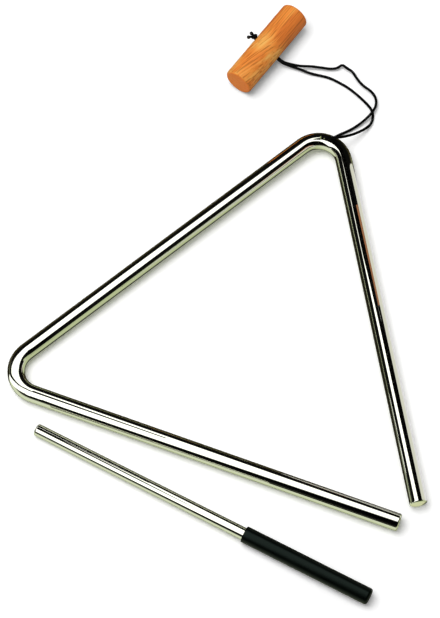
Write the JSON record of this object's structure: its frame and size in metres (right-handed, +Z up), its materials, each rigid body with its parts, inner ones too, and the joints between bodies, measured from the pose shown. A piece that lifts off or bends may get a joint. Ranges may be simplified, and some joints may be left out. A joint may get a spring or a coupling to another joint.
{
  "type": "triangle instrument with beater",
  "caption": "Bent chromed steel rod triangle, open at one corner, hung on a doubled cord with a knotted wooden toggle handle, with a straight steel beater in a black grip.",
  "frame": {"origin": "middle of the footprint of the set as it lies, on the surface, measured without the cord", "axes": "+X along the base bar towards its open end, +Y up the triangle towards the bend that holds the cord, +Z up from the surface"},
  "size_m": [0.25, 0.3392, 0.018],
  "materials": {
    "chromed_steel": "bright chrome plate",
    "varnished_wood": "clear gloss varnish over straight grain",
    "black_cord": "fine black braid, ends melted",
    "black_grip": "dull black sleeve"
  },
  "bodies": {
    "triangle": {"triangle_rod": "chromed_steel"},
    "cord": {"cord_outer_strand": "black_cord", "cord_bar_run": "black_cord", "cord_inner_strand": "black_cord", "cord_knot": "black_cord"},
    "handle": {"wooden_handle": "varnished_wood"},
    "beater": {"beater_rod": "chromed_steel", "beater_grip": "black_grip"}
  },
  "joints": [
    {"name": "cord_swing", "type": "hinge", "parent": "triangle", "child": "cord", "pos_m": [-0.00409, 0.0907, 0.00685], "axis": [0, -0.0088, 1], "range_deg": [-5, 60]},
    {"name": "handle_turn", "type": "hinge", "parent": "cord", "child": "handle", "pos_m": [-0.05667, 0.13863, 0.009], "axis": [0.8913, -0.2556, -0.3746], "range_deg": [-180, 180]},
    {"name": "beater_strike", "type": "slide", "parent": "triangle", "child": "beater", "axis": [0, 1, 0], "range_m": [-0.1, 0.01]}
  ]
}
